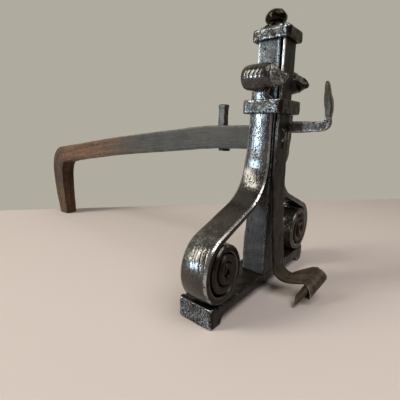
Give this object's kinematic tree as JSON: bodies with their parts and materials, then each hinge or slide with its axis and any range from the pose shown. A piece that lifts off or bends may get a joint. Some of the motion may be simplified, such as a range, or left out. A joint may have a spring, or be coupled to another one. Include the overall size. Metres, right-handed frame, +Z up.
{
  "type": "andiron",
  "caption": "Tall wrought iron andiron with side volutes, rolled heads, a collar, a rolled leaf foot, a spit hook and a billet bar with a rear leg.",
  "frame": {"origin": "on the hearth, midway between the rolled foot in front and the back of the rear leg", "axes": "+Z up, -Y to the front (leaf foot and spit hook), +Y to the rear leg, X along the base bar"},
  "size_m": [0.2796, 0.656, 0.345],
  "materials": {
    "forged_iron": "waxed dark forged iron, pitted",
    "burnished_iron": "dark forged iron, burnished on the high faces",
    "rusty_iron": "forged iron with thin brown rust"
  },
  "bodies": {
    "root": {"base_bar": "forged_iron", "post": "forged_iron", "front_strap": "forged_iron", "left_scroll": "burnished_iron", "right_scroll": "burnished_iron", "collar": "burnished_iron", "collar_packing": "forged_iron", "top_collar": "burnished_iron", "top_packing": "forged_iron", "finial_knob": "burnished_iron", "spit_hook": "burnished_iron", "billet_bar": "rusty_iron", "billet_wedge": "rusty_iron", "log_stop": "rusty_iron", "stop_burr": "rusty_iron", "post_burr": "forged_iron", "scroll_rivets": "forged_iron"}
  },
  "joints": []
}
